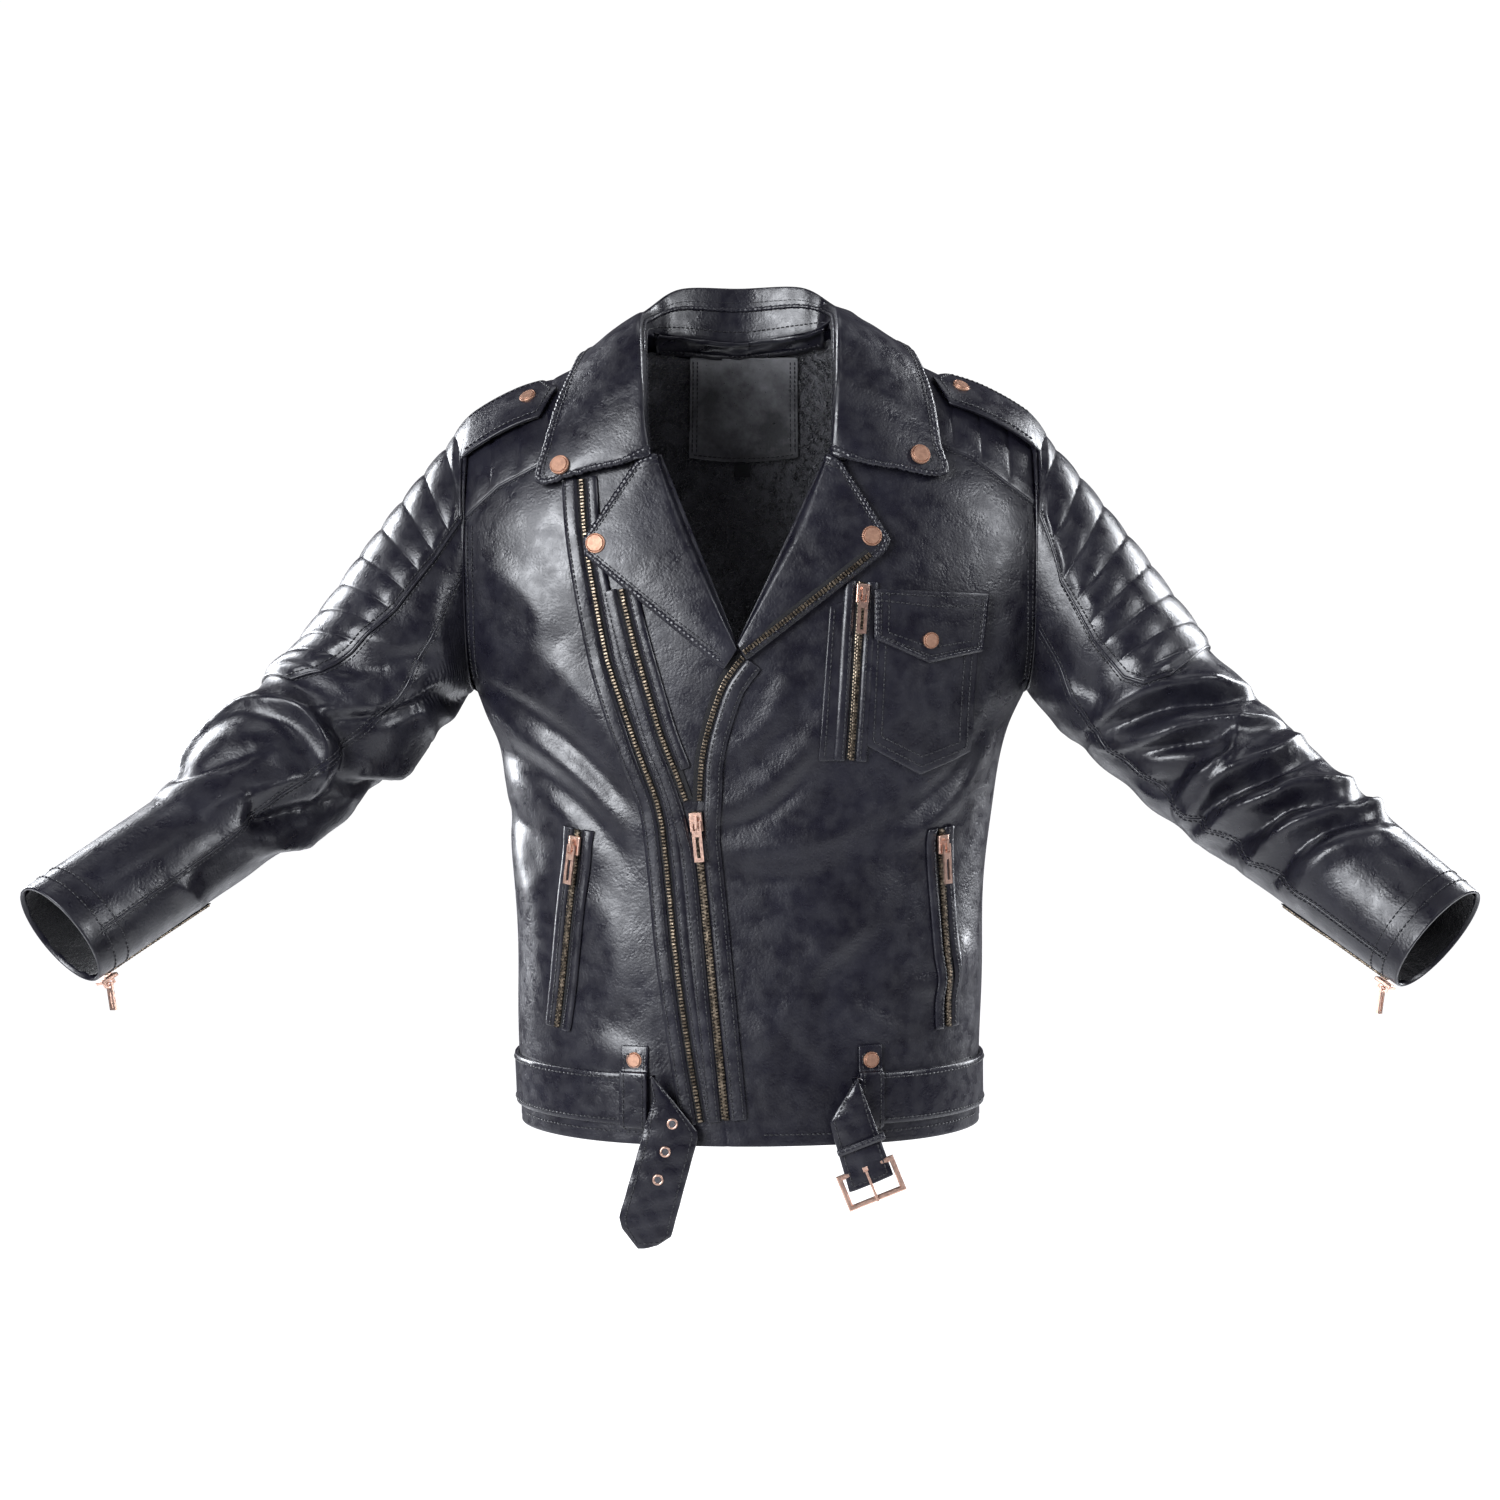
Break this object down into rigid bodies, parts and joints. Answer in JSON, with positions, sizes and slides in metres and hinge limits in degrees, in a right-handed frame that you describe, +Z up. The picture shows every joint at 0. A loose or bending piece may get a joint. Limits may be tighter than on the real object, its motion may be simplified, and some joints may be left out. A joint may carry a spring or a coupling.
{
  "type": "leather riding jacket",
  "caption": "Black leather riding jacket with an off-centre front zip, snap lapels, quilted shoulders, zipped pockets, epaulettes and a belt.",
  "frame": {"origin": "on the centre plane at the height of the shoulders, where a hanger or the wearer's shoulders hold the jacket", "axes": "+Z up, the front faces -Y, +X towards the wearer's left"},
  "size_m": [1.0608, 0.385, 0.7439],
  "materials": {
    "leather": "semi-gloss, fine grain",
    "lining": "black pile",
    "tape": "woven, matte",
    "brass": "antique brass",
    "copper": "matte copper tone",
    "rose_gold": "polished rose gold tone"
  },
  "bodies": {
    "root": {"back_panel": "leather", "belt_back": "leather", "chest_pocket": "leather", "chest_zip_tape": "tape", "chest_zip_welt": "leather", "closed_zip_chain": "brass", "collar": "leather", "left_collar_snap": "copper", "left_front_panel": "leather", "left_hip_zip_tape": "tape", "left_sleeve_pad": "leather", "left_upper_sleeve": "leather", "left_yoke": "leather", "left_zip_chain": "brass", "lining": "lining", "neck_patch": "leather", "right_collar_snap": "copper", "right_front_panel": "leather", "right_hip_zip_tape": "tape", "right_sleeve_pad": "leather", "right_upper_sleeve": "leather", "right_yoke": "leather", "right_zip_chain": "brass", "second_zip_chain": "brass", "size_label": "tape"},
    "main_slider": {"main_slider": "rose_gold"},
    "main_pull": {"main_pull": "rose_gold"},
    "chest_slider": {"chest_slider": "rose_gold"},
    "chest_pull": {"chest_pull": "rose_gold"},
    "right_hip_slider": {"right_hip_slider": "rose_gold"},
    "right_hip_pull": {"right_hip_pull": "rose_gold"},
    "left_hip_slider": {"left_hip_slider": "rose_gold"},
    "left_hip_pull": {"left_hip_pull": "rose_gold"},
    "right_cuff_slider": {"right_cuff_slider": "rose_gold"},
    "right_cuff_pull": {"right_cuff_pull": "rose_gold"},
    "left_cuff_slider": {"left_cuff_slider": "rose_gold"},
    "left_cuff_pull": {"left_cuff_pull": "rose_gold"},
    "right_epaulette": {"right_epaulette": "leather", "right_epaulette_snap": "copper"},
    "right_lapel": {"right_lapel": "leather", "right_lapel_snap": "copper"},
    "right_belt_loop": {"right_belt_loop": "leather", "right_loop_snap": "copper"},
    "right_forearm": {"right_forearm_sleeve": "leather", "right_cuff_zip_tape": "tape"},
    "left_epaulette": {"left_epaulette": "leather", "left_epaulette_snap": "copper"},
    "left_lapel": {"left_lapel": "leather", "left_lapel_snap": "copper", "left_lapel_chain": "brass"},
    "left_belt_loop": {"left_belt_loop": "leather", "left_loop_snap": "copper"},
    "left_forearm": {"left_forearm_sleeve": "leather", "left_cuff_zip_tape": "tape"},
    "chest_flap": {"chest_flap": "leather", "flap_snap": "copper"},
    "belt_tongue": {"belt_tongue": "leather"},
    "buckle_strap": {"belt_buckle_strap": "leather"},
    "buckle_frame": {"buckle_frame": "rose_gold"},
    "buckle_prong": {"buckle_prong": "rose_gold"}
  },
  "joints": [
    {"name": "main_slide", "type": "slide", "parent": "root", "child": "main_slider", "axis": [0.0957, -0.0128, -0.9953], "range_m": [0, 0.215]},
    {"name": "main_pull_swing", "type": "hinge", "parent": "main_slider", "child": "main_pull", "pos_m": [-0.04081, -0.12613, -0.34791], "axis": [-0.9929, 0.0691, -0.0964], "range_deg": [0, 150]},
    {"name": "chest_slide", "type": "slide", "parent": "root", "child": "chest_slider", "axis": [-0.0645, 0.0132, -0.9978], "range_m": [0, 0.112]},
    {"name": "chest_pull_swing", "type": "hinge", "parent": "chest_slider", "child": "chest_pull", "pos_m": [0.08484, -0.12751, -0.17624], "axis": [-0.9845, -0.1644, 0.0615], "range_deg": [0, 150]},
    {"name": "right_hip_slide", "type": "slide", "parent": "root", "child": "right_hip_slider", "axis": [-0.1156, 0.0899, -0.9892], "range_m": [0, 0.132]},
    {"name": "right_hip_pull_swing", "type": "hinge", "parent": "right_hip_slider", "child": "right_hip_pull", "pos_m": [-0.13604, -0.09782, -0.36795], "axis": [-0.8187, 0.5553, 0.1462], "range_deg": [0, 150]},
    {"name": "left_hip_slide", "type": "slide", "parent": "root", "child": "left_hip_slider", "axis": [0.0453, 0.0541, -0.9975], "range_m": [0, 0.132]},
    {"name": "left_hip_pull_swing", "type": "hinge", "parent": "left_hip_slider", "child": "left_hip_pull", "pos_m": [0.15065, -0.08852, -0.36808], "axis": [-0.7734, -0.6301, -0.0693], "range_deg": [0, 150]},
    {"name": "right_cuff_slide", "type": "slide", "parent": "right_forearm", "child": "right_cuff_slider", "axis": [0.5822, 0.6997, 0.414], "range_m": [0, 0.092]},
    {"name": "right_cuff_pull_swing", "type": "hinge", "parent": "right_cuff_slider", "child": "right_cuff_pull", "pos_m": [-0.45984, -0.21403, -0.45631], "axis": [-0.7048, 0.6882, -0.1721], "range_deg": [-50, 50]},
    {"name": "left_cuff_slide", "type": "slide", "parent": "left_forearm", "child": "left_cuff_slider", "axis": [-0.6225, 0.6325, 0.4609], "range_m": [0, 0.092]},
    {"name": "left_cuff_pull_swing", "type": "hinge", "parent": "left_cuff_slider", "child": "left_cuff_pull", "pos_m": [0.46262, -0.18091, -0.46419], "axis": [-0.6277, -0.7552, 0.1888], "range_deg": [-50, 50]},
    {"name": "right_epaulette_lift", "type": "hinge", "parent": "root", "child": "right_epaulette", "pos_m": [-0.2152, -0.03187, -0.04982], "axis": [-0.0011, -0.7431, -0.6692], "range_deg": [0, 70]},
    {"name": "right_lapel_turn", "type": "hinge", "parent": "root", "child": "right_lapel", "pos_m": [-0.06928, -0.10785, -0.07852], "axis": [-0.3635, 0.1312, 0.9223], "range_deg": [0, 60]},
    {"name": "right_loop_open", "type": "hinge", "parent": "root", "child": "right_belt_loop", "pos_m": [-0.08689, -0.1102, -0.586], "axis": [0.9578, -0.2873, 0], "range_deg": [0, 70]},
    {"name": "right_elbow_bend", "type": "hinge", "parent": "root", "child": "right_forearm", "pos_m": [-0.34, -0.05, -0.2911], "axis": [-0.7426, 0.1676, 0.6485], "range_deg": [-25, 40]},
    {"name": "left_epaulette_lift", "type": "hinge", "parent": "root", "child": "left_epaulette", "pos_m": [0.2152, -0.02708, -0.04593], "axis": [-0.001, 0.8033, 0.5956], "range_deg": [0, 70]},
    {"name": "left_lapel_turn", "type": "hinge", "parent": "root", "child": "left_lapel", "pos_m": [0.05471, -0.10908, -0.07951], "axis": [-0.4107, -0.1244, -0.9033], "range_deg": [0, 60]},
    {"name": "left_loop_open", "type": "hinge", "parent": "root", "child": "left_belt_loop", "pos_m": [0.09109, -0.10895, -0.586], "axis": [0.9519, 0.3063, 0], "range_deg": [0, 70]},
    {"name": "left_elbow_bend", "type": "hinge", "parent": "root", "child": "left_forearm", "pos_m": [0.3541, -0.05, -0.3013], "axis": [-0.7296, -0.1417, -0.669], "range_deg": [-25, 40]},
    {"name": "chest_flap_lift", "type": "hinge", "parent": "root", "child": "chest_flap", "pos_m": [0.13686, -0.10654, -0.17512], "axis": [-0.9609, -0.2756, 0.0285], "range_deg": [0, 90]},
    {"name": "belt_tongue_swing", "type": "hinge", "parent": "root", "child": "belt_tongue", "pos_m": [-0.0585, -0.128, -0.544], "axis": [-1, 0, 0], "range_deg": [0, 80]},
    {"name": "buckle_strap_swing", "type": "hinge", "parent": "root", "child": "buckle_strap", "pos_m": [0.08, -0.128, -0.544], "axis": [-1, 0, 0], "range_deg": [0, 80]},
    {"name": "buckle_frame_turn", "type": "hinge", "parent": "buckle_strap", "child": "buckle_frame", "pos_m": [0.0871, -0.128, -0.6099], "axis": [-0.9262, 0, -0.3771], "range_deg": [-60, 30]},
    {"name": "buckle_prong_turn", "type": "hinge", "parent": "buckle_frame", "child": "buckle_prong", "pos_m": [0.0871, -0.128, -0.6099], "axis": [-0.9262, 0, -0.3771], "range_deg": [0, 70]}
  ]
}
